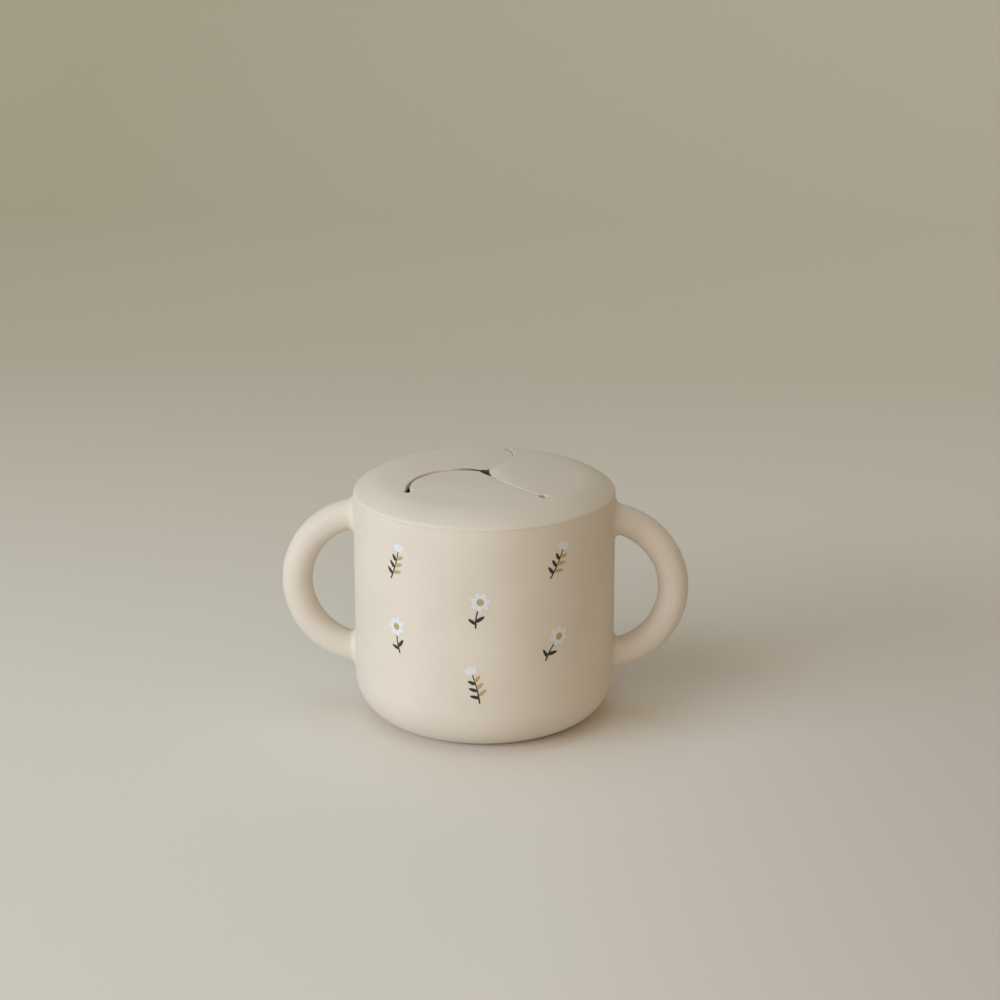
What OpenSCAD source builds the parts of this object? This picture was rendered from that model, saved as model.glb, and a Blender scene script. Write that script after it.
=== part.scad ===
// Toddler snack container: a soft silicone cup with two ring handles, and a
// domed lid whose three bowed slits leave flaps for a small hand to push past.
// Millimetres, +Z up, origin at the middle of the foot, handles along X.

/* [Cup] */
// Outside diameter of the wall
body_d = 85; // [80:1:92]
// Height of the cup up to its rim
cup_h = 75.6; // [70:0.2:90]
// Thickness of the wall
wall_t = 2.4; // [2:0.1:3]
// Thickness of the floor
floor_t = 3; // [2:0.2:5]
// Radius of the round from the wall into the foot
foot_round = 14.5; // [10:0.5:18]
// Radius of the fine rounds on the rim
rim_round = 0.5; // [0.3:0.1:0.8]

/* [Handles] */
// Diameter of a handle's round section
tube_d = 9.9; // [8:0.1:11]
// Radius of a handle's bend, to the middle of the section
bend_r = 23.7; // [21:0.1:25]
// How far the middle of the bend lies inside the wall's face
bend_inset = 4.5; // [2:0.5:7]
// Height of the middle of the bend above the foot
bend_z = 44; // [40:0.5:46]

/* [Lid] */
// Height of the dome's crown above the cup's rim
dome_h = 7.6; // [6.6:0.1:9]
// Thickness of the dome
dome_t = 2; // [1.6:0.1:2.4]
// Radius of the round along the lid's outer edge
edge_round = 1.6; // [1:0.1:2.4]
// Radius of the lid's shoulder, between the edge round and the dome
shoulder_round = 22; // [16:1:26]
// Angle up the edge round at which the shoulder takes over
shoulder_lean = 54; // [50:1:58]
// Radius of the fine round along the seam
seam_round = 0.3; // [0.2:0.1:0.5]
// Depth that the skirt plugs into the cup
skirt_h = 8; // [7:0.5:12]
// Thickness of the skirt
skirt_t = 1.8; // [1.4:0.1:2.4]
// Radius of the round where the skirt runs into the dome
skirt_fillet = 1.5; // [1:0.1:2]
// How far a sealing rib stands out from the skirt
rib_h = 0.5; // [0.3:0.1:0.8]
// Distance from one sealing rib to the next, and from the rim to the first
rib_pitch = 2.8; // [2.4:0.1:3.2]
// Clearance between a sealing rib and the cup's wall
seal_gap = 0.3; // [0.2:0.05:0.5]

/* [Slits] */
// Width of a slit
slit_w = 0.8; // [0.6:0.1:1.2]
// Diameter of the relief hole at a slit's end
relief_d = 2.8; // [2.4:0.1:3.4]
// Direction of the left slit's end, seen from above
left_angle = 220.5; // [215:0.5:226]
// Distance of the left slit's end from the middle
left_reach = 30; // [28:0.5:31]
// How far the left slit bows out from a straight cut
left_bow = 9.1; // [7:0.1:9.6]
// Direction of the right slit's end, seen from above
right_angle = 312.5; // [307:0.5:318]
// Distance of the right slit's end from the middle
right_reach = 30; // [28:0.5:31]
// How far the right slit bows out from a straight cut
right_bow = 3; // [2:0.2:5]
// Direction of the back slit's end, seen from above
back_angle = 77.5; // [72:0.5:83]
// Distance of the back slit's end from the middle
back_reach = 28.5; // [27:0.5:31]
// How far the back slit bows out from a straight cut
back_bow = 4.6; // [3:0.2:6]

/* [Flap roots] */
// Running clearance between a flap's root and its socket in the lid
root_gap = 0.3; // [0.25:0.05:0.4]
// Extra radius of the root round beyond the dome's thickness
root_extra = 0.4; // [0.3:0.1:0.6]

/* [Hidden] */
$fn = 96;
DOME_FN = 720;   // the dome is a small part of a very large circle
FAR = 200;       // reach of cutting shapes past the part
LAP = 0.05;      // overlap that fuses two solids of one piece
SILICONE = [0.87, 0.83, 0.76];

body_r = body_d / 2;
mouth_r = body_r - wall_t;
tube_r = tube_d / 2;
bend_x = body_r - bend_inset;
top_z = cup_h + dome_h;

// The lid's outline runs smoothly from the edge round into the shoulder and
// from there into the dome, a sphere whose radius follows from the crown.
edge_x = body_r - edge_round;
shoulder_x = edge_x + (edge_round - shoulder_round) * cos(shoulder_lean);
shoulder_z = cup_h + (edge_round - shoulder_round) * sin(shoulder_lean);
crown = top_z - shoulder_z;
dome_r = (shoulder_x * shoulder_x + crown * crown - shoulder_round * shoulder_round)
         / (2 * (crown - shoulder_round));
dome_z = top_z - dome_r;
shoulder_end = atan2(shoulder_z - dome_z, shoulder_x);
skirt_out = mouth_r - seal_gap - rib_h;
skirt_in = skirt_out - skirt_t;
under_r = dome_r - dome_t;

// Height of the dome's outer face at a distance from the middle
function crown_z(r) = dome_z + sqrt(dome_r * dome_r - r * r);
// The fillet inside the skirt runs into the underside of the shoulder
under_shoulder = shoulder_round - dome_t;
fillet_end = acos((skirt_in - skirt_fillet - shoulder_x) / (under_shoulder - skirt_fillet));
fillet_z = shoulder_z + (under_shoulder - skirt_fillet) * sin(fillet_end);

// A slit is [direction of its end, reach, bow]: an arc from the middle to its
// end that bows out on its clockwise side.
SLITS = [[left_angle, left_reach, left_bow],
         [right_angle, right_reach, right_bow],
         [back_angle, back_reach, back_bow]];
function polar(a, r) = [r * cos(a), r * sin(a)];
function slit_end(s) = polar(s[0], s[1]);
function slit_r(s) = (s[1] * s[1] / 4 + s[2] * s[2]) / (2 * s[2]);
function slit_mid(s) = slit_end(s) / 2 + polar(s[0] + 90, slit_r(s) - s[2]);
function slit_sweep(s) = 4 * atan(2 * s[2] / s[1]);
function turn(a) = ((a % 360) + 360) % 360;
function heading(v) = atan2(v[1], v[0]);

// A flap lies between slit a and the next slit b. It bends along the line from
// the end of a to the end of b, or to where b bows out furthest past that line.
function root_end(a, b) =
    let (c = slit_mid(b), v = slit_end(a) - c,
         t = heading(v) + acos(slit_r(b) / norm(v)))
    turn(t - heading(-c)) < slit_sweep(b) ? c + polar(t, slit_r(b)) : slit_end(b);

// A root is [angle of its outward normal, distance from the middle, height,
// radius, start and end along the line, start and end trims of the flap].
function along(p, a) = p * polar(a + 90, 1);
function across(p, a) = p * polar(a, 1);
function reach_y(c, r, x) = c[1] - sqrt(r * r - pow(x - c[0], 2));
function root(a, b) =
    let (p = slit_end(a), q = root_end(a, b), n = heading(q - p) - 90,
         d = across(p, n),
         half = (crown_z(d) - crown_z(norm(p))) / 2,
         z = crown_z(d) - half - dome_t / 2,
         r = half + dome_t / 2 + root_extra,
         x = -r - root_gap,
         ca = [across(slit_mid(a), n) - d, along(slit_mid(a), n)],
         cb = [across(slit_mid(b), n) - d, along(slit_mid(b), n)],
         ya = reach_y(ca, slit_r(a) - slit_w / 2, x),
         yb = reach_y(cb, slit_r(b) + slit_w / 2, x),
         ha = along(p, n) + relief_d / 2,
         hb = along(q, n) - relief_d / 2)
    [n, d, z, r, max(ya, ha), min(yb, hb), ya > ha, yb < hb];
ROOTS = [for (k = [0 : 2]) root(SLITS[k], SLITS[(k + 1) % 3])];

// Outside the round of a convex corner that opens towards angles 0 to a
module corner(round, a = 90) {
    difference() {
        polygon([[0, 0], [FAR, 0], [FAR, FAR], polar(a, FAR)]);
        circle(round);
    }
}

// ---- cup -----------------------------------------------------------------

// Half outline of a tub with a round of radius r between wall and floor
module tub_outline(half_w, low, high, r) {
    translate([0, low + r]) square([half_w, high - low - r]);
    translate([0, low]) square([half_w - r, high - low]);
    translate([half_w - r, low + r]) circle(r);
}

module cup_body() {
    color(SILICONE)
    rotate_extrude() difference() {
        tub_outline(body_r, 0, cup_h, foot_round);
        tub_outline(mouth_r, floor_t, cup_h + FAR, foot_round - wall_t);
        translate([body_r - rim_round, cup_h - rim_round]) corner(rim_round);
        translate([mouth_r + rim_round, cup_h - rim_round])
            mirror([1, 0]) corner(rim_round);
    }
}

// A ring handle: the part of a torus that stands out of the cup's wall
module handle(side) {
    color(SILICONE)
    difference() {
        translate([side * bend_x, 0, bend_z]) rotate([90, 0, 0])
            rotate_extrude() translate([bend_r, 0]) circle(tube_r);
        cylinder(r = body_r, h = FAR, center = false);
        translate([side > 0 ? -FAR : 0, -FAR / 2, 0]) cube([FAR, FAR, FAR]);
    }
}

// ---- lid -----------------------------------------------------------------

module lid_section() {
    difference() {
        union() {
            intersection() {
                translate([0, dome_z]) circle(dome_r, $fn = DOME_FN);
                translate([0, cup_h]) square([body_r, dome_h]);
            }
            translate([0, cup_h - skirt_h]) square([skirt_out, skirt_h + LAP]);
            for (z = [rib_pitch : rib_pitch : skirt_h - rib_h])
                translate([skirt_out, cup_h - z]) circle(rib_h);
        }
        translate([shoulder_x, shoulder_z]) corner(shoulder_round, shoulder_end, $fn = DOME_FN);
        translate([edge_x, cup_h]) corner(edge_round, shoulder_lean);
        translate([body_r - seam_round, cup_h + seam_round])
            mirror([0, 1]) corner(seam_round);
        lid_hollow();
    }
}

// Space under the dome, inside the skirt
module lid_hollow() {
    difference() {
        intersection() {
            translate([0, dome_z]) circle(under_r, $fn = DOME_FN);
            translate([0, cup_h - FAR]) square([skirt_in, 2 * FAR]);
        }
        translate([shoulder_x, shoulder_z]) corner(under_shoulder, shoulder_end, $fn = DOME_FN);
        translate([skirt_in - skirt_fillet, fillet_z]) corner(skirt_fillet, fillet_end);
    }
}

module lid_solid() {
    rotate_extrude() lid_section();
}

// One slit without its hole, seen from above
module slit_band(s) {
    c = slit_mid(s);
    intersection() {
        translate(c) difference() {
            circle(slit_r(s) + slit_w / 2);
            circle(slit_r(s) - slit_w / 2);
        }
        polygon([c, -c, c - 3 * polar(s[0] + 90, slit_r(s)), 2 * slit_end(s) - c]);
    }
}

module relief_holes() {
    for (s = SLITS) translate(slit_end(s)) circle(d = relief_d);
}

// From slit a round to slit b and out to the bending line. b_edge is how far
// the edge along slit b stands off that slit's middle line.
module flap_zone(a, b, b_edge) {
    difference() {
        union() {
            polygon([[0, 0], slit_end(a), root_end(a, b)]);
            intersection() {
                translate(slit_mid(a)) circle(slit_r(a));
                rotate(a[0]) translate([0, -FAR]) square([a[1], FAR + LAP]);
            }
        }
        translate(slit_mid(b)) circle(slit_r(b) + b_edge);
    }
}

// The thin ends of a zone, past the ends of the root, that stay with the lid
module root_trims(root, gap) {
    rotate(root[0]) translate([root[1] - root[3] - root_gap - LAP, 0]) {
        if (root[6]) translate([0, root[4] - gap - FAR]) square(FAR);
        if (root[7]) translate([0, root[5] + gap]) square(FAR);
    }
}

// Round bar along a flap's bending line, from its start to its end
module root_bar(root, gap = 0) {
    rotate(root[0]) translate([root[1], root[4] - gap, root[2]])
        rotate([-90, 0, 0]) cylinder(r = root[3] + gap, h = root[5] - root[4] + 2 * gap);
}

module flap(a, b, root) {
    color(SILICONE) {
        intersection() {
            lid_solid();
            translate([0, 0, cup_h]) linear_extrude(FAR) difference() {
                flap_zone(a, b, slit_w / 2);
                slit_band(a);
                relief_holes();
                root_trims(root, 0);
            }
        }
        intersection() {
            lid_solid();
            root_bar(root);
            rotate(root[0]) translate([root[1] - LAP, -FAR / 2, 0]) cube(FAR);
        }
    }
}

// Everything that is open in the lid up to the bending lines, seen from above
module lid_window() {
    for (k = [0 : 2]) {
        difference() {
            flap_zone(SLITS[k], SLITS[(k + 1) % 3], -slit_w / 4);
            root_trims(ROOTS[k], root_gap);
        }
        slit_band(SLITS[k]);
    }
    relief_holes();
}

// The window is cut first, and the sockets of the flaps' roots after it
module lid_ring() {
    color(SILICONE)
    difference() {
        difference() {
            lid_solid();
            translate([0, 0, cup_h]) linear_extrude(FAR) lid_window();
        }
        for (root = ROOTS) root_bar(root, root_gap);
    }
}

cup_body();
handle(-1);  // handle_left
handle(1);  // handle_right
lid_ring();
flap(SLITS[0], SLITS[1], ROOTS[0]);  // flap_front
flap(SLITS[1], SLITS[2], ROOTS[1]);  // flap_right
flap(SLITS[2], SLITS[0], ROOTS[2]);  // flap_left
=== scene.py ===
import math

import bmesh
import bpy
import numpy as np
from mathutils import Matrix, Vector, geometry


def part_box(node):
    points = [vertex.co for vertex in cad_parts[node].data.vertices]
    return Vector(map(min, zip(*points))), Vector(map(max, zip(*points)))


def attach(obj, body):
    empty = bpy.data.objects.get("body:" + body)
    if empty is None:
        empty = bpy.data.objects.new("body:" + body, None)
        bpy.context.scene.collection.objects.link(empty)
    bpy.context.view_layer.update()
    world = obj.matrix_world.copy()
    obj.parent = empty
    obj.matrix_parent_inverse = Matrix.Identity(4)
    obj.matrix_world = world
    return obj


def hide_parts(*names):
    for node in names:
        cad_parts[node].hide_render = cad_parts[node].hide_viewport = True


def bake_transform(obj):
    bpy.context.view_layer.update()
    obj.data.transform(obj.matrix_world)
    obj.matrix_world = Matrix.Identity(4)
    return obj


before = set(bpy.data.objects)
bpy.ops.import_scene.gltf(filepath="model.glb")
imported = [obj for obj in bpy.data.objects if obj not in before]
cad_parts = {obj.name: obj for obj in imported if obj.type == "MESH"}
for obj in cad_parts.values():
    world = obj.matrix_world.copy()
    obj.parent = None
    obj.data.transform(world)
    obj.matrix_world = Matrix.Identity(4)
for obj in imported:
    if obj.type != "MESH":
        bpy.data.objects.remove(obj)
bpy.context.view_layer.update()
MM = 0.001


# ==== Cup ======================================================================================
# One soft silicone moulding: a straight round wall that runs through a wide round into a flat
# foot, open at the top. It comes out of its steel mould with a fine matt, velvety skin.

WALL_R = 42.5 * MM
WALL_T = 2.4 * MM
FLOOR_T = 3.0 * MM
FOOT_ROUND = 14.5 * MM
RIM_ROUND = 0.15 * MM
RIM_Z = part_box("cup_body")[1].z
MOUTH_R = WALL_R - WALL_T
ROUND_STEPS = 20          # points on a wide round
CUP_SEGMENTS = 256
SILICONE = (0.665, 0.60, 0.515)
LINT_COLOUR = (0.86, 0.83, 0.78)
SEAM_RIDGE = 4            # how high a mould line stands against the skin's own grain

MERGE_DIST = 0.0005 * MM  # points nearer than this become one

# How fine each texture is, in features per metre of the object, and how high it stands.
CLOUD_SCALE = 45          # slow drift of the tint
PATCH_SCALE = 70          # where lint clings
LINT_SCALE = 330          # single specks of lint
PEEL_SCALE = 420          # the mould's soft orange peel
GRAIN_SCALE = 2600        # its eroded grain
GRAIN_HEIGHT, PEEL_HEIGHT, LINT_HEIGHT = 0.6, 0.8, 0.8
MOST_NOISE = (0.3, 0.7)   # most of a noise's values lie in here
SPECK_EDGE = (0.05, 0.11)     # a speck fades out here, as a share of the specks' spacing
PATCH_EDGE = (0.5, 0.75)
SKIN_ROUGHNESS = (0.55, 0.68)
LINT_ROUGHNESS = 0.2      # added by lint


def arc(cx, cz, radius, start, end, steps):
    """Points of an arc in the half plane of a revolved outline, from start to end degrees."""
    turns = np.radians(np.linspace(start, end, steps + 1))
    return [(cx + radius * math.cos(a), cz + radius * math.sin(a)) for a in turns]


def line(start, end, steps):
    """Points from start to end, without the last one."""
    shares = np.linspace(0, 1, steps, endpoint=False)
    return [(start[0] + (end[0] - start[0]) * s, start[1] + (end[1] - start[1]) * s)
            for s in shares]


def revolve(bm, outline, segments):
    """Turns an outline of (radius, height) points round the Z axis and returns its rings."""
    turns = np.linspace(0, 2 * math.pi, segments, endpoint=False)
    rings = []
    for radius, z in outline:
        if radius < 1e-9:
            rings.append([bm.verts.new((0, 0, z))])
        else:
            rings.append([bm.verts.new((radius * math.cos(a), radius * math.sin(a), z))
                          for a in turns])
    for low, high in zip(rings, rings[1:]):
        for i in range(segments):
            j = (i + 1) % segments
            corners = [low[i % len(low)], low[j % len(low)],
                       high[j % len(high)], high[i % len(high)]]
            bm.faces.new(list(dict.fromkeys(corners)))
    return rings


def closed_mesh(name, bm):
    """Merges the doubles, turns the faces outward and makes the mesh."""
    bmesh.ops.remove_doubles(bm, verts=bm.verts, dist=MERGE_DIST)
    bmesh.ops.recalc_face_normals(bm, faces=bm.faces)
    mesh = bpy.data.meshes.new(name)
    bm.to_mesh(mesh)
    bm.free()
    return mesh


def smoothed(mesh, sharp_angle=40):
    """Gives the mesh smooth faces, sharp only at its real corners."""
    mesh.polygons.foreach_set("use_smooth", [True] * len(mesh.polygons))
    mesh.set_sharp_from_angle(angle=math.radians(sharp_angle))
    return mesh


def finished(name, bm, material):
    """A smooth object in the scene, with one material."""
    mesh = smoothed(closed_mesh(name, bm))
    mesh.materials.append(material)
    obj = bpy.data.objects.new(name, mesh)
    bpy.context.scene.collection.objects.link(obj)
    return obj


def new_group(name, inputs, outputs):
    """A shader group with float or colour sockets, and its two end nodes."""
    tree = bpy.data.node_groups.new(name, "ShaderNodeTree")
    for label, kind, value in inputs:
        socket = tree.interface.new_socket(label, in_out="INPUT", socket_type=kind)
        socket.default_value = value
    for label, kind in outputs:
        tree.interface.new_socket(label, in_out="OUTPUT", socket_type=kind)
    return tree, tree.nodes.new("NodeGroupInput"), tree.nodes.new("NodeGroupOutput")


def feed(tree, socket, value):
    """Gives a socket a number or a colour, or links another node's output to it."""
    if isinstance(value, (int, float)):
        socket.default_value = value
    elif isinstance(value, tuple):
        socket.default_value = (*value, 1)
    else:
        tree.links.new(value, socket)


def object_place(tree):
    """Where a point lies, in the object's own coordinates."""
    return tree.nodes.new("ShaderNodeTexCoord").outputs["Object"]


def split_place(tree, place):
    """The X, Y and Z outputs of a place."""
    node = tree.nodes.new("ShaderNodeSeparateXYZ")
    tree.links.new(place, node.inputs[0])
    return node.outputs


def noise(tree, vector, scale, detail=3.0, roughness=0.5):
    """Soft noise, from 0 to 1 about a half."""
    node = tree.nodes.new("ShaderNodeTexNoise")
    node.inputs["Scale"].default_value = scale
    node.inputs["Detail"].default_value = detail
    node.inputs["Roughness"].default_value = roughness
    tree.links.new(vector, node.inputs["Vector"])
    return node.outputs["Fac"]


def spread(tree, value, low, high, to_low, to_high):
    """Maps a value from one range to another, clamped."""
    node = tree.nodes.new("ShaderNodeMapRange")
    for label, number in (("From Min", low), ("From Max", high),
                          ("To Min", to_low), ("To Max", to_high)):
        node.inputs[label].default_value = number
    tree.links.new(value, node.inputs["Value"])
    return node.outputs["Result"]


def maths(tree, operation, a, b=None):
    """One sum on numbers or on other nodes' outputs."""
    node = tree.nodes.new("ShaderNodeMath")
    node.operation = operation
    feed(tree, node.inputs[0], a)
    if b is not None:
        feed(tree, node.inputs[1], b)
    return node.outputs[0]


def mixed(tree, share, a, b):
    """Colour a, or b where share is 1."""
    node = tree.nodes.new("ShaderNodeMix")
    node.data_type = "RGBA"
    for number, value in ((0, share), (6, a), (7, b)):
        feed(tree, node.inputs[number], value)
    return node.outputs[2]


def silicone_skin():
    """Matt moulded silicone: a cloudy tint, a fine eroded grain and a little clinging lint."""
    tree, given, out = new_group(
        "silicone_skin",
        [("Colour", "NodeSocketColor", (*SILICONE, 1)),
         ("Cloud", "NodeSocketFloat", 0.03),
         ("Lint", "NodeSocketFloat", 0.5)],
        [("Colour", "NodeSocketColor"), ("Roughness", "NodeSocketFloat"),
         ("Height", "NodeSocketFloat")])
    at = object_place(tree)
    cloud = spread(tree, noise(tree, at, CLOUD_SCALE), *MOST_NOISE, -1, 1)
    shade = maths(tree, "ADD", maths(tree, "MULTIPLY", cloud, given.outputs["Cloud"]), 1.0)
    tinted = tree.nodes.new("ShaderNodeVectorMath")
    tinted.operation = "SCALE"
    tree.links.new(given.outputs["Colour"], tinted.inputs[0])
    tree.links.new(shade, tinted.inputs["Scale"])
    specks = tree.nodes.new("ShaderNodeTexVoronoi")
    specks.inputs["Scale"].default_value = LINT_SCALE
    tree.links.new(at, specks.inputs["Vector"])
    speck = spread(tree, specks.outputs["Distance"], *SPECK_EDGE, 1, 0)
    patches = spread(tree, noise(tree, at, PATCH_SCALE), *PATCH_EDGE, 0, 1)
    lint = maths(tree, "MULTIPLY", speck, patches)
    lint = maths(tree, "MULTIPLY", lint, given.outputs["Lint"])
    colour = mixed(tree, lint, tinted.outputs[0], LINT_COLOUR)
    grain = noise(tree, at, GRAIN_SCALE, 4.0, 0.6)
    peel = noise(tree, at, PEEL_SCALE, 2.0)
    rough = maths(tree, "ADD", spread(tree, peel, *MOST_NOISE, *SKIN_ROUGHNESS),
                  maths(tree, "MULTIPLY", lint, LINT_ROUGHNESS))
    height = maths(tree, "ADD", maths(tree, "MULTIPLY", grain, GRAIN_HEIGHT),
                   maths(tree, "MULTIPLY", peel, PEEL_HEIGHT))
    height = maths(tree, "ADD", height, maths(tree, "MULTIPLY", lint, LINT_HEIGHT))
    for label, value in (("Colour", colour), ("Roughness", rough), ("Height", height)):
        tree.links.new(value, out.inputs[label])
    return tree


SKIN = silicone_skin()


def silicone(name, colour, lint, parting_line=0.0):
    """Soft-touch silicone. parting_line is the half width of the mould's seam along y = 0."""
    material = bpy.data.materials.new(name)
    material.use_nodes = True
    tree = material.node_tree
    shader = tree.nodes["Principled BSDF"]
    skin = tree.nodes.new("ShaderNodeGroup")
    skin.node_tree = SKIN
    skin.inputs["Colour"].default_value = (*colour, 1)
    skin.inputs["Lint"].default_value = lint
    height = skin.outputs["Height"]
    if parting_line:
        aside = maths(tree, "ABSOLUTE", split_place(tree, object_place(tree))["Y"])
        ridge = spread(tree, aside, 0, parting_line, SEAM_RIDGE, 0)
        height = maths(tree, "ADD", height, ridge)
    bump = tree.nodes.new("ShaderNodeBump")
    bump.inputs["Strength"].default_value = 0.35
    bump.inputs["Distance"].default_value = 0.02 * MM
    tree.links.new(height, bump.inputs["Height"])
    tree.links.new(skin.outputs["Colour"], shader.inputs["Base Color"])
    tree.links.new(skin.outputs["Roughness"], shader.inputs["Roughness"])
    tree.links.new(bump.outputs["Normal"], shader.inputs["Normal"])
    shader.inputs["Specular IOR Level"].default_value = 0.35
    shader.inputs["Sheen Weight"].default_value = 0.12
    shader.inputs["Sheen Roughness"].default_value = 0.5
    return material


def cup_outline():
    """From the middle of the foot up the outside, over the rim and down to the floor's middle."""
    inner_round = FOOT_ROUND - WALL_T
    foot_r = WALL_R - FOOT_ROUND
    outline = [(0, 0)] + line((foot_r * 0.5, 0), (foot_r, 0), 3)
    outline += arc(foot_r, FOOT_ROUND, FOOT_ROUND, -90, 0, ROUND_STEPS)
    outline += line((WALL_R, FOOT_ROUND + 1 * MM), (WALL_R, RIM_Z - RIM_ROUND), 10)
    outline += arc(WALL_R - RIM_ROUND, RIM_Z - RIM_ROUND, RIM_ROUND, 0, 90, 5)
    outline += arc(MOUTH_R + RIM_ROUND, RIM_Z - RIM_ROUND, RIM_ROUND, 90, 180, 5)
    outline += line((MOUTH_R, RIM_Z - 1.5 * MM), (MOUTH_R, FLOOR_T + inner_round), 8)
    outline += arc(foot_r, FLOOR_T + inner_round, inner_round, 0, -90, ROUND_STEPS)
    return outline + [(foot_r * 0.5, FLOOR_T), (0, FLOOR_T)]


cup_mesh = bmesh.new()
revolve(cup_mesh, cup_outline(), CUP_SEGMENTS)
cup_skin = silicone("cup_skin", SILICONE, lint=0.35)
cup = finished("cup", cup_mesh, cup_skin)
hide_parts("cup_body")
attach(cup, "cup")


# ==== Print ====================================================================================
# A thin film of ink on the wall, front and back, clear of the handles: small daisies and leafy
# sprigs by turns, in three inks. The motifs are drawn flat in millimetres, with X along the wall,
# Y up it and Z out of it, and are then laid round the cup.

FILM_ROOT = 0.1 * MM      # how deep the film's closed underside lies in the wall
PETALS = 7
INKS = (("charcoal_ink", (0.030, 0.025, 0.022), 0.04 * MM),
        ("pale_ink", (0.69, 0.71, 0.74), 0.05 * MM),
        ("mustard_ink", (0.44, 0.335, 0.15), 0.06 * MM))
PALE, MUSTARD = INKS[1][0], INKS[2][0]
PRINT_SIZES = (("Columns", "Int", 10), ("Rows", "Int", 2), ("Wall Radius", "Float", WALL_R),
               ("Lowest", "Float", 24 * MM), ("Row Step", "Float", 26 * MM),
               ("Half Drop", "Float", 13 * MM), ("Scatter", "Float", 1.6 * MM),
               ("Lean", "Float", math.radians(32)), ("Side Limit", "Float", 0.85),
               ("Seed", "Int", 5))


def leaf(x, y, length, width, heading, blunt=1.0, steps=14):
    """Outline of a leaf or petal that grows from (x, y). A low blunt value draws out its tip."""
    outline = []
    for turn in np.linspace(0, 2 * math.pi, steps, endpoint=False):
        along = length * (0.5 - 0.5 * math.cos(turn))
        taper = 1 - (1 - blunt) * along / length
        aside = 0.5 * width * math.sin(turn) * taper
        cos, sin = math.cos(math.radians(heading)), math.sin(math.radians(heading))
        outline.append((x + along * cos - aside * sin, y + along * sin + aside * cos))
    return outline


def whorl(x, y, hub, length, width, headings, blunt=1.0):
    """Outlines of leaves or petals that stand round a point and start a hub's radius from it."""
    return [leaf(x + hub * math.cos(math.radians(h)), y + hub * math.sin(math.radians(h)),
                 length, width, h, blunt) for h in headings]


def stalk(x, y, top_x, top_y, bow, width=0.42, steps=8):
    """Outline of a bowed stalk, a little thicker at its foot."""
    left, right = [], []
    span = Vector((top_x - x, top_y - y))
    aside = Vector((-span.y, span.x)).normalized()
    for share in np.linspace(0, 1, steps + 1):
        middle = Vector((x, y)) + span * share + aside * bow * 4 * share * (1 - share)
        half = aside * width * (0.6 - 0.25 * share)
        left.append(tuple(middle - half))
        right.append(tuple(middle + half))
    return left + right[::-1]


def daisy(ink):
    """Outlines of a daisy's parts in one ink."""
    if ink == PALE:
        return whorl(0, 2.4, 0.3, 3.0, 1.75, [360 * i / PETALS + 12 for i in range(PETALS)])
    if ink == MUSTARD:
        return [leaf(-1.2, 2.4, 2.4, 2.4, 0, steps=20)]
    return [stalk(-0.9, -6.4, 0, 1.6, 0.5), leaf(-0.95, -4.2, 3.3, 1.5, 38, 0.6),
            leaf(-0.9, -5.0, 3.0, 1.4, 148, 0.6)]


def sprig(ink):
    """Outlines of a sprig's parts in one ink."""
    if ink == PALE:
        return whorl(0.1, 3.6, 0.2, 2.8, 1.9, (62, 98, 134), 0.8)
    if ink == MUSTARD:
        return [leaf(0.35, y, 3.1 - 0.25 * i, 1.5, 28 + 6 * i, 0.6)
                for i, y in enumerate((-3.6, -1.2, 1.2))]
    return ([stalk(-0.2, -6.2, 0.1, 4.0, -0.35)]
            + [leaf(0.1, y, 3.0 - 0.25 * i, 1.4, 152 - 6 * i, 0.6)
               for i, y in enumerate((-4.4, -2.0, 0.4))])


def film(name, outlines, rise):
    """A temporary object that holds one closed plate of ink for each outline."""
    bm = bmesh.new()
    for outline in outlines:
        middle = np.mean(outline, axis=0)
        skins = []
        for z in (-FILM_ROOT, rise):
            ring = [bm.verts.new((x * MM, y * MM, z)) for x, y in outline]
            skins.append((ring, bm.verts.new((*(middle * MM), z))))
        (low, low_tip), (top, top_tip) = skins
        for i in range(len(outline)):
            j = (i + 1) % len(outline)
            bm.faces.new((top[i], top[j], top_tip))
            bm.faces.new((low[j], low[i], low_tip))
            bm.faces.new((low[i], low[j], top[j], top[i]))
    return bpy.data.objects.new(name, closed_mesh(name, bm))


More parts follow.
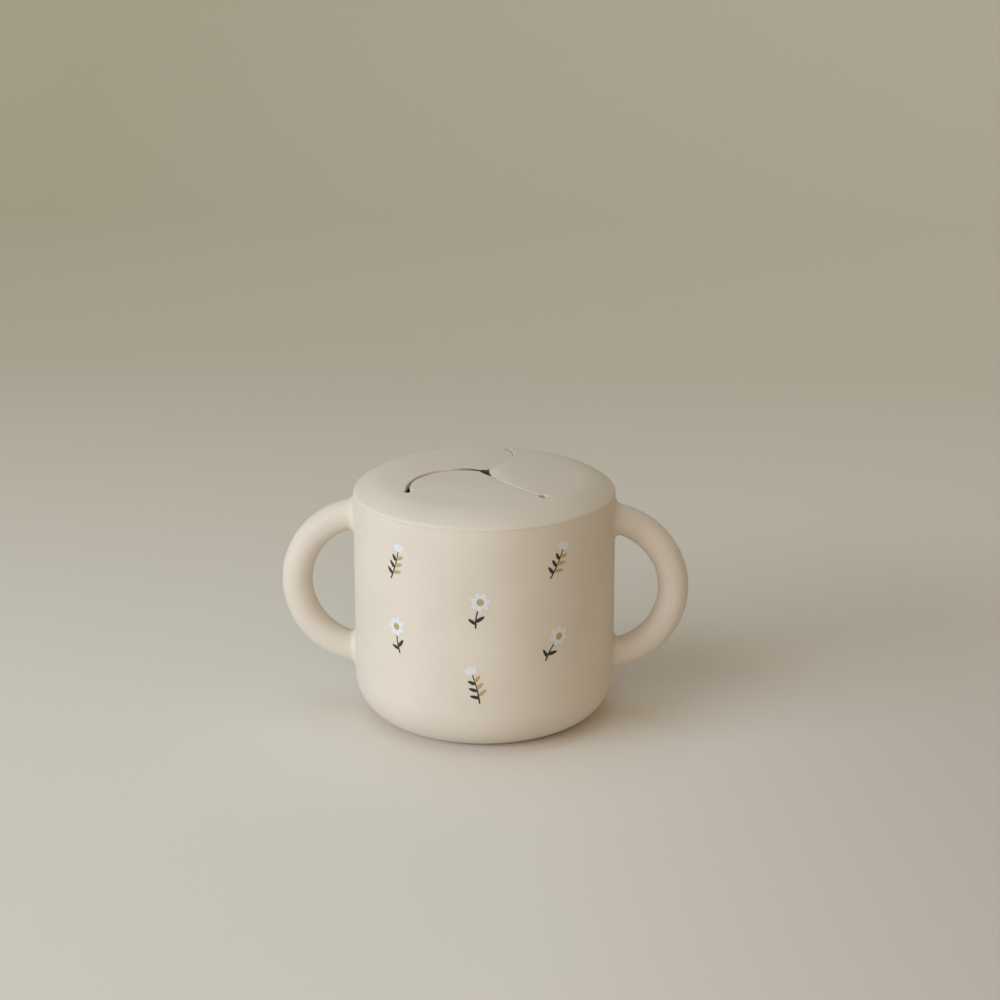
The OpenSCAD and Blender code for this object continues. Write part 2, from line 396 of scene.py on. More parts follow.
def wall_print():
    """Geometry nodes that set two motifs by turns on a staggered grid and lay it round a wall."""
    tree = bpy.data.node_groups.new("wall_print", "GeometryNodeTree")
    chosen = (("Daisy", "Object", None), ("Sprig", "Object", None), ("Ink", "Material", None))
    tree.interface.new_socket("Geometry", in_out="INPUT", socket_type="NodeSocketGeometry")
    for label, kind, value in chosen + PRINT_SIZES:
        socket = tree.interface.new_socket(label, in_out="INPUT", socket_type="NodeSocket" + kind)
        if value is not None:
            socket.default_value = value
    tree.interface.new_socket("Geometry", in_out="OUTPUT", socket_type="NodeSocketGeometry")
    given = tree.nodes.new("NodeGroupInput").outputs
    out = tree.nodes.new("NodeGroupOutput")

    def vector(x, y, z):
        """A place or a turn from three numbers or outputs."""
        node = tree.nodes.new("ShaderNodeCombineXYZ")
        for socket, value in zip(node.inputs, (x, y, z)):
            feed(tree, socket, value)
        return node.outputs[0]

    def random(low_high, seed_step):
        """A random value from minus to plus a socket's value, the same at every run."""
        node = tree.nodes.new("FunctionNodeRandomValue")
        tree.links.new(maths(tree, "MULTIPLY", low_high, -1.0), node.inputs[2])
        tree.links.new(low_high, node.inputs[3])
        tree.links.new(maths(tree, "ADD", given["Seed"], seed_step), node.inputs["Seed"])
        return node.outputs[1]

    index = tree.nodes.new("GeometryNodeInputIndex").outputs[0]
    column = maths(tree, "FLOOR", maths(tree, "DIVIDE", index, given["Rows"]))
    row = maths(tree, "MODULO", index, given["Rows"])
    round_wall = maths(tree, "MULTIPLY", given["Wall Radius"], 2 * math.pi)
    step = maths(tree, "DIVIDE", round_wall, given["Columns"])
    x = maths(tree, "ADD", maths(tree, "MULTIPLY", column, step), random(given["Scatter"], 0))
    y = maths(tree, "ADD", given["Lowest"], maths(tree, "MULTIPLY", row, given["Row Step"]))
    odd = maths(tree, "MODULO", column, 2.0)
    y = maths(tree, "ADD", y, maths(tree, "MULTIPLY", odd, given["Half Drop"]))
    y = maths(tree, "ADD", y, random(given["Scatter"], 1))
    points = tree.nodes.new("GeometryNodePoints")
    tree.links.new(maths(tree, "MULTIPLY", given["Columns"], given["Rows"]), points.inputs["Count"])
    tree.links.new(vector(x, y, 0), points.inputs["Position"])

    by_turns = maths(tree, "MODULO", maths(tree, "ADD", column, row), 2.0)
    aside = maths(tree, "SINE", maths(tree, "DIVIDE", x, given["Wall Radius"]))
    clear = maths(tree, "LESS_THAN", maths(tree, "ABSOLUTE", aside), given["Side Limit"])
    joined = tree.nodes.new("GeometryNodeJoinGeometry")
    other_turns = maths(tree, "SUBTRACT", 1.0, by_turns)
    for label, turns in (("Daisy", by_turns), ("Sprig", other_turns)):
        motif = tree.nodes.new("GeometryNodeObjectInfo")
        tree.links.new(given[label], motif.inputs["Object"])
        placed = tree.nodes.new("GeometryNodeInstanceOnPoints")
        tree.links.new(points.outputs[0], placed.inputs["Points"])
        tree.links.new(motif.outputs["Geometry"], placed.inputs["Instance"])
        tree.links.new(maths(tree, "MULTIPLY", turns, clear), placed.inputs["Selection"])
        tree.links.new(vector(0, 0, random(given["Lean"], 2)), placed.inputs["Rotation"])
        tree.links.new(placed.outputs[0], joined.inputs[0])
    real = tree.nodes.new("GeometryNodeRealizeInstances")
    tree.links.new(joined.outputs[0], real.inputs[0])

    flat = split_place(tree, tree.nodes.new("GeometryNodeInputPosition").outputs[0])
    bearing = maths(tree, "DIVIDE", flat["X"], given["Wall Radius"])
    out_r = maths(tree, "ADD", given["Wall Radius"], flat["Z"])
    bent = tree.nodes.new("GeometryNodeSetPosition")
    tree.links.new(real.outputs[0], bent.inputs["Geometry"])
    front = maths(tree, "MULTIPLY", maths(tree, "COSINE", bearing), out_r)
    back = maths(tree, "MULTIPLY", front, -1.0)
    side = maths(tree, "MULTIPLY", maths(tree, "SINE", bearing), out_r)
    tree.links.new(vector(side, back, flat["Y"]), bent.inputs["Position"])
    inked = tree.nodes.new("GeometryNodeSetMaterial")
    tree.links.new(bent.outputs[0], inked.inputs["Geometry"])
    tree.links.new(given["Ink"], inked.inputs["Material"])
    tree.links.new(inked.outputs[0], out.inputs[0])
    return tree


def printed(tree, name, colour, rise):
    """The whole print in one ink, as a plain object."""
    motifs = {"Daisy": film("daisy_" + name, daisy(name), rise),
              "Sprig": film("sprig_" + name, sprig(name), rise)}
    carrier = bpy.data.objects.new("carrier", bpy.data.meshes.new("carrier"))
    modifier = carrier.modifiers.new("print", "NODES")
    modifier.node_group = tree
    sockets = {item.name: item.identifier for item in tree.interface.items_tree
               if item.in_out == "INPUT"}
    sizes = {label: value for label, _, value in PRINT_SIZES}
    ink = silicone(name, colour, lint=0.1)
    for label, value in {**sizes, **motifs, "Ink": ink}.items():
        modifier[sockets[label]] = value
    drawn = (carrier, *motifs.values())
    for obj in drawn:
        bpy.context.scene.collection.objects.link(obj)
    done = carrier.evaluated_get(bpy.context.evaluated_depsgraph_get())
    mesh = smoothed(bpy.data.meshes.new_from_object(done))
    for obj in drawn:
        bpy.data.objects.remove(obj)
    flowers = bpy.data.objects.new("print_" + name, mesh)
    bpy.context.scene.collection.objects.link(flowers)
    return flowers


print_tree = wall_print()
for ink_name, ink_colour, ink_rise in INKS:
    flowers = printed(print_tree, ink_name, ink_colour, ink_rise)
    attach(flowers, "cup")


# ==== Handles ==================================================================================
# Two thick rings of round section, moulded in one piece with the cup's wall. Each is most of a
# circle and runs into the wall through a small fillet; the mould's halves meet along its middle.

TUBE_R = 4.95 * MM
BEND_R = 23.7 * MM
BEND_X = WALL_R - 4.5 * MM
BEND_Z = 44 * MM
HANDLE_FILLET = 2.2 * MM
ROOT_DEPTH = 1.0 * MM     # how far the closed end lies inside the wall
SEAM_HALF = 0.16 * MM
TUBE_SIDES = 72
FILLET_STEPS = 7
BEND_STEPS = 56


def handle_ring(side, around, radius, turn):
    """A point of the handle: around the tube and along the bend, in radians."""
    out = BEND_R + radius * math.cos(around)
    return (side * (BEND_X + out * math.cos(turn)), radius * math.sin(around),
            BEND_Z + out * math.sin(turn))


def wall_turn(around, radius, wall_r):
    """Where along the bend a line of the tube meets a wall of that radius."""
    out = BEND_R + radius * math.cos(around)
    x = math.sqrt(wall_r ** 2 - (radius * math.sin(around)) ** 2)
    return math.acos((x - BEND_X) / out)


def handle_rows(around):
    """(radius, turn) of each point along one line of the tube, from one root to the other."""
    inner = TUBE_R + HANDLE_FILLET
    root = [(inner, wall_turn(around, inner, WALL_R - ROOT_DEPTH))]
    for step in range(FILLET_STEPS + 1):
        lift = math.radians(90 * (1 - step / FILLET_STEPS))
        radius = TUBE_R + HANDLE_FILLET * (1 - math.cos(lift))
        off_wall = HANDLE_FILLET * (1 - math.sin(lift))
        out = BEND_R + radius * math.cos(around)
        root.append((radius, wall_turn(around, radius, WALL_R) - off_wall / out))
    last = root[-1][1]
    middle = [(TUBE_R, turn) for turn in np.linspace(last, -last, BEND_STEPS + 1)[1:-1]]
    return root + middle + [(radius, -turn) for radius, turn in reversed(root)]


def handle_mesh(side):
    """A tube along the bend, closed at both ends inside the wall."""
    bm = bmesh.new()
    turns = np.linspace(0, 2 * math.pi, TUBE_SIDES, endpoint=False)
    lines = []
    for around in turns:
        rows = handle_rows(around)
        lines.append([bm.verts.new(handle_ring(side, around, r, t)) for r, t in rows])
    for i, row in enumerate(lines):
        beside = lines[(i + 1) % TUBE_SIDES]
        for k in range(len(row) - 1):
            bm.faces.new((row[k], beside[k], beside[k + 1], row[k + 1]))
    for end in (0, -1):
        middle = sum((row[end].co for row in lines), Vector()) / TUBE_SIDES
        tip = bm.verts.new(middle)
        for i, row in enumerate(lines):
            bm.faces.new((row[end], lines[(i + 1) % TUBE_SIDES][end], tip))
    return bm


handle_skin = silicone("handle_skin", SILICONE, lint=0.35, parting_line=SEAM_HALF)
for side, node in ((-1, "handle_left"), (1, "handle_right")):
    handle = finished("ring_" + node, handle_mesh(side), handle_skin)
    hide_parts(node)
    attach(handle, "cup")


# ==== Lid ======================================================================================
# The second silicone moulding: a low dome, flush with the wall, with a skirt and two sealing
# ribs that plug into the cup. Three bowed slits, cut after moulding, free three soft flaps. The
# flaps' tips hang a little, and painted shade darkens their cut faces where the tips meet.

DOME_H = 7.6 * MM
DOME_T = 2.0 * MM
EDGE_ROUND = 1.6 * MM
SHOULDER_ROUND = 22 * MM
SHOULDER_LEAN = 54        # degrees up the edge round at which the shoulder takes over
EDGE_END = 8              # degrees up it at which it gives way to the seam's fine round
SEAM_ROUND = 0.15 * MM
SKIRT_H = 8.0 * MM
SKIRT_T = 1.8 * MM
SKIRT_FILLET = 1.5 * MM
SKIRT_EDGE = 0.5 * MM     # round along its lower edge
SKIRT_STEP = 0.2 * MM     # small bevel where it leaves the rim
SEAL_GAP = 0.3 * MM
RIB_H = 0.5 * MM
RIB_PITCH = 2.8 * MM
WINDOW_R = 34 * MM        # the slits lie inside this circle
LID_SEGMENTS = 240

EDGE_X = WALL_R - EDGE_ROUND
LEAN = math.radians(SHOULDER_LEAN)
SHOULDER_X = EDGE_X + (EDGE_ROUND - SHOULDER_ROUND) * math.cos(LEAN)
SHOULDER_Z = RIM_Z + (EDGE_ROUND - SHOULDER_ROUND) * math.sin(LEAN)
CROWN = RIM_Z + DOME_H - SHOULDER_Z
DOME_R = (SHOULDER_X ** 2 + CROWN ** 2 - SHOULDER_ROUND ** 2) / (2 * (CROWN - SHOULDER_ROUND))
DOME_Z = RIM_Z + DOME_H - DOME_R
SHOULDER_END = math.degrees(math.atan2(SHOULDER_Z - DOME_Z, SHOULDER_X))
SKIRT_OUT = MOUTH_R - SEAL_GAP - RIB_H
SKIRT_IN = SKIRT_OUT - SKIRT_T


def dome_z(r, sunk=0.0):
    """Height of the dome at a distance from the middle, or of its underside sunk below it."""
    r = np.asarray(r, float)
    round_r = SHOULDER_ROUND - sunk
    dome = DOME_Z + np.sqrt((DOME_R - sunk) ** 2 - r ** 2)
    shoulder = SHOULDER_Z + np.sqrt(np.maximum(round_r ** 2 - (r - SHOULDER_X) ** 2, 0))
    joint = SHOULDER_X + round_r * math.cos(math.radians(SHOULDER_END))
    return np.where(r < joint, dome, shoulder)


def lid_outline():
    """From the window's top edge out over the rim, down the skirt and back under the dome."""
    under = SHOULDER_ROUND - DOME_T
    fillet_x = SKIRT_IN - SKIRT_FILLET
    fillet_end = math.degrees(math.acos((fillet_x - SHOULDER_X) / (under - SKIRT_FILLET)))
    fillet_z = SHOULDER_Z + (under - SKIRT_FILLET) * math.sin(math.radians(fillet_end))
    outline = [(WINDOW_R, float(dome_z(WINDOW_R)))]
    window = math.degrees(math.acos((WINDOW_R - SHOULDER_X) / SHOULDER_ROUND))
    outline += arc(SHOULDER_X, SHOULDER_Z, SHOULDER_ROUND, window, SHOULDER_LEAN, 16)[1:]
    outline += arc(EDGE_X, RIM_Z, EDGE_ROUND, SHOULDER_LEAN, EDGE_END, 9)[1:]
    outline += arc(WALL_R - SEAM_ROUND, RIM_Z + SEAM_ROUND, SEAM_ROUND, 0, -90, 4)
    outline += [(SKIRT_OUT + SKIRT_STEP, RIM_Z), (SKIRT_OUT, RIM_Z - SKIRT_STEP)]
    for rib in (1, 2):
        outline += arc(SKIRT_OUT, RIM_Z - rib * RIB_PITCH, RIB_H, 90, -90, 8)
    edge_z = RIM_Z - SKIRT_H + SKIRT_EDGE
    outline += arc(SKIRT_OUT - SKIRT_EDGE, edge_z, SKIRT_EDGE, 0, -90, 4)
    outline += arc(SKIRT_IN + SKIRT_EDGE, edge_z, SKIRT_EDGE, -90, -180, 4)
    outline += line((SKIRT_IN, RIM_Z - SKIRT_H + 1 * MM), (SKIRT_IN, fillet_z), 3)
    outline += arc(fillet_x, fillet_z, SKIRT_FILLET, 0, fillet_end, 8)
    window = math.degrees(math.acos((WINDOW_R - SHOULDER_X) / under))
    outline += arc(SHOULDER_X, SHOULDER_Z, under, fillet_end, window, 5)[1:-1]
    return outline + [(WINDOW_R, float(dome_z(WINDOW_R, DOME_T)))]


# Work on the plan of the dome is done in millimetres. Each slit: direction of its end in degrees,
# reach and bow, then how far each lip stands back at the tips, over which share of the length,
# and beside the relief hole.
SLITS = [(220.5, 30.0, 9.1, 0.38, 0.28, 0.75), (312.5, 30.0, 3.0, 1.3, 0.22, 0.15),
         (77.5, 28.5, 4.6, 0.65, 0.26, 0.04)]
SLIT_HALF = 0.08          # half the width of a closed slit
TIP_CURVE = 0.8           # how steadily a slit closes away from the tips
END_START = 0.35          # share of a slit's length at which it opens again towards its hole
RELIEF_R = 1.3
TIP_GAP = 1.1             # radius of the opening where the tips meet
TIP_MIDDLE = (0.6, -1.0)  # and its middle, towards the right slit
LIP_ROUND = 0.22          # round on the cut's upper lips
NECK = 0.35               # how softly slits and holes run together
FLAPS = ("flap_front", "flap_right", "flap_left")       # zones 1 to 3 of the plan; 0 is the ring

# The walk round the cut.
WALK_STEP = 0.36
SHORTEST_STEP = 0.036     # at corners a step is halved, but not below this
LEAST_COSINE = 0.8        # of the turn that one step may make
FIRST_STEPS = 9           # the walk's end isn't looked for before these
BACK_AT_START = 0.27      # the walk ends within this of its start
MOST_STEPS = 3000
LEAST_SLOPE = 0.3         # where the slits meet, the distance's slope is taken as no flatter


class Slit:
    """A bowed cut from the middle of the dome to its relief hole."""

    def __init__(self, angle, reach, bow, tip_open, tip_share, end_open):
        self.radius = (reach ** 2 / 4 + bow ** 2) / (2 * bow)
        self.sweep = 4 * math.atan(2 * bow / reach)
        self.first = math.radians(angle) - self.sweep / 2 - math.pi / 2
        self.middle = -self.radius * self.heading(0)
        self.end = self.at(np.array([1.0]))[0]
        self.reach = reach
        self.tip_open, self.tip_share, self.end_open = tip_open, tip_share, end_open
        self.angle = math.radians(angle)

    def heading(self, share):
        """Direction from the arc's middle to its point at a share of the length."""
        turn = self.first + self.sweep * np.asarray(share)
        return np.stack([np.cos(turn), np.sin(turn)], -1)

    def at(self, share):
        """The slit's middle line at a share of its length."""
        return self.middle + self.radius * self.heading(share)

    def half(self, share):
        """Half the slit's width at a share of its length."""
        tip = np.clip(1 - share / self.tip_share, 0, 1) ** TIP_CURVE
        end = np.clip((share - END_START) / (1 - END_START), 0, 1) ** 2
        return SLIT_HALF + self.tip_open * tip + self.end_open * end

    def distance(self, points):
        """How far points lie outside the cut's own edge."""
        v = points - self.middle
        turn = np.arctan2(v[:, 1], v[:, 0]) - self.first
        turn = (turn + math.pi - self.sweep / 2) % (2 * math.pi) - math.pi + self.sweep / 2
        share = np.clip(turn / self.sweep, 0, 1)
        return np.linalg.norm(points - self.at(share), axis=1) - self.half(share)

    def bearing(self, r):
        """Direction in which the slit lies at a distance r from the middle."""
        r = np.minimum(r, self.reach)
        return (self.angle - math.asin(self.reach / (2 * self.radius))
                + np.arcsin(r / (2 * self.radius)))


slits = [Slit(*values) for values in SLITS]


def soft_min(a, b, k):
    """The lower of two distances, blended where they are within k of each other."""
    h = np.clip(0.5 + 0.5 * (b - a) / k, 0, 1)
    return b * (1 - h) + a * h - k * h * (1 - h)


def from_cut(points):
    """Distance of points of the plan from the edge of the whole cut, negative inside it."""
    d = np.linalg.norm(points - TIP_MIDDLE, axis=1) - TIP_GAP
    for slit in slits:
        d = soft_min(d, slit.distance(points), NECK)
    for slit in slits:
        d = soft_min(d, np.linalg.norm(points - slit.end, axis=1) - RELIEF_R, NECK)
    return d


def slope(points):
    """How the distance from the cut grows along X and Y, and the distance itself."""
    step = 1e-4
    d = from_cut(points)
    gx = from_cut(points + [step, 0]) - d
    gy = from_cut(points + [0, step]) - d
    return np.stack([gx, gy], 1) / step, d


def settled(point, level):
    """The point's place on a level of the distance, and the direction away from the cut there."""
    for _ in range(2):
        away, d = slope(point)
        steep = np.maximum((away * away).sum(1), LEAST_SLOPE)
        point = point - away * ((d - level) / steep)[:, None]
    return point, away / np.linalg.norm(away)


def cut_loop(level):
    """Walks once round the whole cut at a distance from its edge, in short steps at corners."""
    point, away = settled(slits[0].at(np.array([0.5])) + [0, 1.0], level)
    walked = [point[0]]
    while len(walked) < MOST_STEPS:
        step = WALK_STEP
        while True:
            ahead, turned = settled(point + step * away[:, ::-1] * [-1, 1], level)
            if (away * turned).sum() > LEAST_COSINE or step < SHORTEST_STEP:
                break
            step /= 2
        point, away = ahead, turned
        left_start = len(walked) > FIRST_STEPS
        if left_start and np.linalg.norm(point[0] - walked[0]) < BACK_AT_START:
            break
        walked.append(point[0])
    return np.array(walked)


class Root:
    """The line on which a flap bends, from the first slit's hole to where the next slit's bow
    comes closest to it."""

    def __init__(self, first, second):
        v = first.end - second.middle
        self.first, self.second = first, second
        self.start = first.end
        turn = math.atan2(v[1], v[0]) + math.acos(second.radius / np.hypot(*v))
        if 0 < (turn - second.first) % (2 * math.pi) < second.sweep:
            self.stop = second.middle + second.radius * np.array([math.cos(turn), math.sin(turn)])
        else:
            self.stop = second.end
        self.along = (self.stop - self.start) / np.linalg.norm(self.stop - self.start)
        self.outward = np.array([self.along[1], -self.along[0]])

    def depth(self, points):
        """How far points lie inside the line."""
        return (self.start - points) @ self.outward

    def frees(self, points):
        """Which points belong to the flap."""
        r = np.linalg.norm(points, axis=1)
        bearing = np.arctan2(points[:, 1], points[:, 0])
        low = self.first.bearing(r)
        width = (self.second.bearing(r) - low) % (2 * math.pi)
        inside = (bearing - low) % (2 * math.pi) < width
        before = (points - self.stop) @ self.along < 0
        return inside & before & (self.depth(points) > 0)


roots = [Root(slits[0], slits[1]), Root(slits[1], slits[2]), Root(slits[2], slits[0])]
LIP_LEVELS = (0, 0.03, 0.09, 0.22, 0.5)       # distances from the cut's edge of the mesh's loops
# How far each flap's tip hangs, how late along its length it starts to, and over which share of
# its length it starts: front, right and left.
FLAP_SAG = ((1.0, 1, 0.3), (1.2, 4, 0.1), (1.0, 1, 0.2))
CUT_SHADE_MIDDLE = (-1.5 * MM, -1 * MM, 82 * MM)     # painted shade of the shut slits is darkest where the tips meet
CUT_SHADE_CORE = 2.5 * MM
CUT_SHADE_REACH = 10.5 * MM
CUT_SHADE_RAGGED = 0.6 * MM
CUT_SHADE_SCALE = 900
CUT_SHADE_COLOUR = (0.10, 0.082, 0.06)
GRID = 1.15               # spacing of the plain points between the rim, the cut and the roots
GRID_HALF = 32            # rows and columns of them on each side of the middle
ROOT_STEP = 0.8           # spacing along a flap's bending line
RIM_CLEAR = 0.6           # how far plain points stay from the rim,
CUT_CLEAR = 0.9           # from the cut's edge
ROOT_CLEAR = 0.4          # and from a bending line


def lid_plan():
    """Points and triangles of the dome's plan, and each triangle's zone."""
    turns = np.linspace(0, 2 * math.pi, LID_SEGMENTS, endpoint=False)
    rim = WINDOW_R / MM * np.stack([np.cos(turns), np.sin(turns)], 1)
    loops = [rim] + [cut_loop(level) for level in LIP_LEVELS]
    points, edges = [], []
    for loop in loops:
        first = len(points)
        count = len(loop)
        points += list(loop)
        edges += [(first + i, first + (i + 1) % count) for i in range(count)]
    for root in roots:
        first = len(points)
        span = root.stop - root.start
        count = int(np.linalg.norm(span) / ROOT_STEP)
        points += list(root.start + np.linspace(0, 1, count + 1)[:, None] * span)
        edges += [(first + i, first + i + 1) for i in range(count)]
    steps = np.arange(-GRID_HALF, GRID_HALF + 1)
    gx, gy = np.meshgrid(steps * GRID, steps * GRID * math.sqrt(3) / 2)
    gx[::2] += GRID / 2
    grid = np.stack([gx.ravel(), gy.ravel()], 1)
    keep = np.linalg.norm(grid, axis=1) < WINDOW_R / MM - RIM_CLEAR
    keep &= from_cut(grid) > CUT_CLEAR
    for root in roots:
        from_middle = np.abs((grid - (root.start + root.stop) / 2) @ root.along)
        beyond = from_middle > np.linalg.norm(root.stop - root.start) / 2
        keep &= (np.abs(root.depth(grid)) > ROOT_CLEAR) | beyond
    points += list(grid[keep])
    made = geometry.delaunay_2d_cdt([Vector(p) for p in points], edges, [], 0, 1e-5)
    plan = np.array([tuple(v) for v in made[0]])
    faces = np.array(made[2])
    middles = plan[faces].mean(axis=1)
    faces = faces[from_cut(middles) > 0]
    middles = plan[faces].mean(axis=1)
    zone = np.zeros(len(faces), int)
    for number, root in enumerate(roots):
        zone[root.frees(middles)] = number + 1
    return plan, faces, zone


def lid_heights(plan, zone):
    """Heights of the upper and lower skin over points of the plan, in metres."""
    r = np.linalg.norm(plan, axis=1) * MM
    over = np.clip(1 - from_cut(plan) / LIP_ROUND, 0, 1)
    lip = LIP_ROUND * MM * (1 - np.sqrt(1 - over ** 2))
    sag = 0
    if zone:
        root = roots[zone - 1]
        share = np.clip(root.depth(plan) / root.depth(np.zeros((1, 2)))[0], 0, 1)
        most, late, start = FLAP_SAG[zone - 1]
        hang = np.sqrt(share ** (2 * late) + start ** 2) - start
        sag = most * MM * hang / (math.hypot(1, start) - start)
    return dome_z(r) - lip - sag, dome_z(r, DOME_T) - sag


def lid_piece(plan, faces, zone):
    """One zone of the dome as a closed shell; the ring's zone stays open at the window's rim."""
    top_z, low_z = lid_heights(plan, zone)
    bm = bmesh.new()
    used = np.unique(faces)
    top = {i: bm.verts.new((*(plan[i] * MM), top_z[i])) for i in used}
    low = {i: bm.verts.new((*(plan[i] * MM), low_z[i])) for i in used}
    # The lips and the cut's walls take the second material, which holds the painted shade.
    on_lip = from_cut(plan[faces].mean(axis=1)) < LIP_ROUND / 2
    sides = {}
    for (a, b, c), cut in zip(faces, on_lip):
        bm.faces.new((top[a], top[b], top[c])).material_index = int(cut)
        bm.faces.new((low[c], low[b], low[a]))
        sides.update(dict.fromkeys(((a, b), (b, c), (c, a))))
    rim = np.linalg.norm(plan, axis=1) > WINDOW_R / MM - 0.01
    for a, b in sides:
        if (b, a) not in sides and not (rim[a] and rim[b]):
            bm.faces.new((top[b], top[a], low[a], low[b])).material_index = 1
    return bm


def add_painted_cut_shade(material):
    """Darkens a material's colour where the flaps' tips meet, as painted shade of the shut slits.
    """
    tree = material.node_tree
    shader = tree.nodes["Principled BSDF"]
    fresh = shader.inputs["Base Color"].links[0].from_socket
    at = object_place(tree)
    away = tree.nodes.new("ShaderNodeVectorMath")
    away.operation = "DISTANCE"
    away.inputs[1].default_value = CUT_SHADE_MIDDLE
    tree.links.new(at, away.inputs[0])
    ragged = spread(tree, noise(tree, at, CUT_SHADE_SCALE), *MOST_NOISE, -CUT_SHADE_RAGGED, CUT_SHADE_RAGGED)
    distance = maths(tree, "ADD", away.outputs["Value"], ragged)
    # Painted shade: the colour darkens towards the place where the tips meet.
    painted_shade = spread(tree, distance, CUT_SHADE_CORE, CUT_SHADE_REACH, 1, 0)
    tree.links.new(mixed(tree, painted_shade, fresh, CUT_SHADE_COLOUR), shader.inputs["Base Color"])


plan, plan_faces, plan_zone = lid_plan()
lid_skin = silicone("lid_skin", SILICONE, lint=0.5)
cut_shaded_skin = silicone("cut_shaded_skin", SILICONE, lint=0.3)     # the cut's own faces, darkened by painted shade where the tips meet
add_painted_cut_shade(cut_shaded_skin)

ring_mesh = lid_piece(plan, plan_faces[plan_zone == 0], 0)
revolve(ring_mesh, lid_outline(), LID_SEGMENTS)
lid = finished("lid_ring_piece", ring_mesh, lid_skin)
lid.data.materials.append(cut_shaded_skin)
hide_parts("lid_ring")
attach(lid, "lid")

for number, (flap_name, root) in enumerate(zip(FLAPS, roots), 1):
    flap_mesh = lid_piece(plan, plan_faces[plan_zone == number], number)
    flap = finished(flap_name + "_piece", flap_mesh, lid_skin)
    flap.data.materials.append(cut_shaded_skin)
    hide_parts(flap_name)
    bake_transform(flap)


# ==== Floor, light and camera ==================================================================
# A plain pale warm floor that runs up into the backdrop and darkens to the back. Painted shade
# darkens it to the right of the cup, and a painted shadow of the cup lies there. One broad soft
# lamp stands low at the front left, a weak one at the front and a cool one overhead, and the room
# gives a warm fill from all round.

FLOOR_HALF = 3.0          # half the floor's width
FLOOR_FRONT = -2.0
SWEEP_START = 0.42        # where the floor begins to rise
SWEEP_R = 0.9
BACKDROP_TOP = 2.6
RIGHT_SHADE_FADE = (0.02, 0.16)     # painted shade: near the cup the floor darkens over this stretch of X, and loses that again over this one of Y
BESIDE_FADE = (0.0, 0.2)      # and loses that again over this one of Y
ACROSS_FADE = (-0.3, 0.3)     # farther back its tint changes over this stretch of X
AWAY_FADE = (0.0, 0.65)       # and it takes on that tint over this one of Y
NEAR_COLOUR = (0.79, 0.75, 0.69)
# Painted shade of the floor to the right of the cup.
NEAR_RIGHT_SHADE_COLOUR = (0.66, 0.61, 0.56)
FAR_LEFT_COLOUR = (0.515, 0.47, 0.36)
FAR_RIGHT_COLOUR = (0.645, 0.60, 0.50)
PAINTED_SHADOW_MIDDLE = (66 * MM, 42 * MM)      # the painted shadow of the cup is deepest on the floor here
PAINTED_SHADOW_REACH = (34 * MM, 30 * MM)
PAINTED_SHADOW_COLOUR = (0.655, 0.56, 0.49)
LAMP_TARGET = (0, 0, 0.04)


def pool(tree, place, middle, reach):
    """1 at one point of the floor, and softly less with the distance from it."""
    squares = []
    for axis, centre, size in zip("XY", middle, reach):
        off = maths(tree, "DIVIDE", maths(tree, "SUBTRACT", place[axis], centre), size)
        squares.append(maths(tree, "MULTIPLY", off, off))
    return maths(tree, "EXPONENT", maths(tree, "MULTIPLY", maths(tree, "ADD", *squares), -1.0))


def floor_paper():
    """Matt paper, tinted by its place, with painted shade and a painted shadow beside the cup."""
    material = bpy.data.materials.new("floor_paper")
    material.use_nodes = True
    tree = material.node_tree
    place = split_place(tree, object_place(tree))
    # Painted shade to the right of the cup.
    right = maths(tree, "MULTIPLY", spread(tree, place["X"], *RIGHT_SHADE_FADE, 0, 1),
                  spread(tree, place["Y"], *BESIDE_FADE, 1, 0))
    near = mixed(tree, right, NEAR_COLOUR, NEAR_RIGHT_SHADE_COLOUR)
    # Painted shadow of the cup on the floor.
    near = mixed(tree, pool(tree, place, PAINTED_SHADOW_MIDDLE, PAINTED_SHADOW_REACH), near, PAINTED_SHADOW_COLOUR)
    across = spread(tree, place["X"], *ACROSS_FADE, 0, 1)
    far = mixed(tree, across, FAR_LEFT_COLOUR, FAR_RIGHT_COLOUR)
    away = spread(tree, place["Y"], *AWAY_FADE, 0, 1)
    shader = tree.nodes["Principled BSDF"]
    tree.links.new(mixed(tree, away, near, far), shader.inputs["Base Color"])
    shader.inputs["Roughness"].default_value = 0.8
    shader.inputs["Specular IOR Level"].default_value = 0.2
    return material


floor_mesh = bmesh.new()
sweep = [(y, 0.0) for y in np.linspace(FLOOR_FRONT, SWEEP_START, 10)]
sweep += [(SWEEP_START + SWEEP_R * math.sin(a), SWEEP_R - SWEEP_R * math.cos(a))
          for a in np.radians(np.arange(3, 91, 3))]
sweep += [(SWEEP_START + SWEEP_R, BACKDROP_TOP)]
rows = [[floor_mesh.verts.new((x, y, z)) for x in (-FLOOR_HALF, FLOOR_HALF)] for y, z in sweep]
for near, far in zip(rows, rows[1:]):
    floor_mesh.faces.new((near[0], near[1], far[1], far[0]))
floor = finished("floor", floor_mesh, floor_paper())


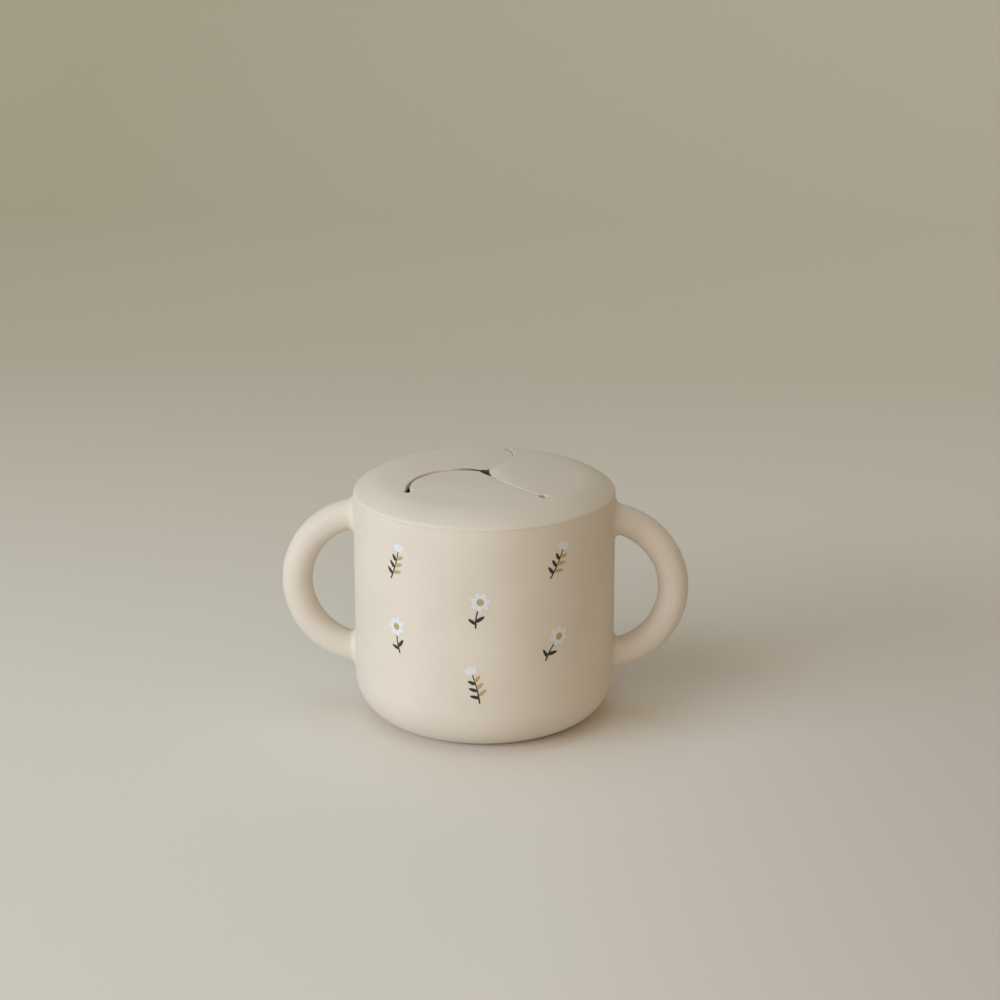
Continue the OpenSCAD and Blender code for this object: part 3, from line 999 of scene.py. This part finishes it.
def soft_lamp(name, place, size, power, colour):
    """A rectangular lamp that faces the middle of the cup."""
    data = bpy.data.lights.new(name, "AREA")
    data.shape = "RECTANGLE"
    data.size, data.size_y = size
    data.energy = power
    data.color = colour
    lamp = bpy.data.objects.new(name, data)
    lamp.location = place
    aim = Vector(LAMP_TARGET) - Vector(place)
    lamp.rotation_euler = aim.to_track_quat("-Z", "Y").to_euler()
    bpy.context.scene.collection.objects.link(lamp)


soft_lamp("lit_wall", (-1.35, -0.95, 0.52), (1.15, 0.65), 19.5, (0.71, 0.84, 0.98))
soft_lamp("front_fill", (-0.35, -1.65, 0.75), (1.5, 1.0), 7.7, (1.0, 0.92, 0.91))
soft_lamp("sky", (-0.2, 0.1, 1.9), (1.3, 1.3), 7.7, (0.44, 0.74, 1.0))

# The room gives a warm fill. Seen directly, past the backdrop, it is as pale as the floor.
ROOM_FILL = (0.402, 0.317, 0.199)
ROOM_SEEN = (0.60, 0.56, 0.49)
world = bpy.data.worlds.new("room")
world.use_nodes = True
room = world.node_tree
seen = room.nodes.new("ShaderNodeLightPath").outputs["Is Camera Ray"]
room.links.new(mixed(room, seen, ROOM_FILL, ROOM_SEEN), room.nodes["Background"].inputs["Color"])
bpy.context.scene.world = world

CAMERA_AWAY = 0.9
CAMERA_TURN = math.radians(4.2)
CAMERA_UP = math.radians(22.0)
CAMERA_DOWN = math.radians(17.6)
CAMERA_PAN = math.radians(0.348)
camera_data = bpy.data.cameras.new("camera")
camera_data.lens = 97.1
camera_data.sensor_width = 36
camera_data.clip_end = 20
camera = bpy.data.objects.new("camera", camera_data)
camera.location = (CAMERA_AWAY * math.sin(CAMERA_TURN) * math.cos(CAMERA_UP),
                   -CAMERA_AWAY * math.cos(CAMERA_TURN) * math.cos(CAMERA_UP),
                   CAMERA_AWAY * math.sin(CAMERA_UP))
camera.rotation_euler = (math.pi / 2 - CAMERA_DOWN, 0, CAMERA_TURN - CAMERA_PAN)
bpy.context.scene.collection.objects.link(camera)
bpy.context.scene.camera = camera
bpy.context.scene.view_settings.view_transform = "Standard"
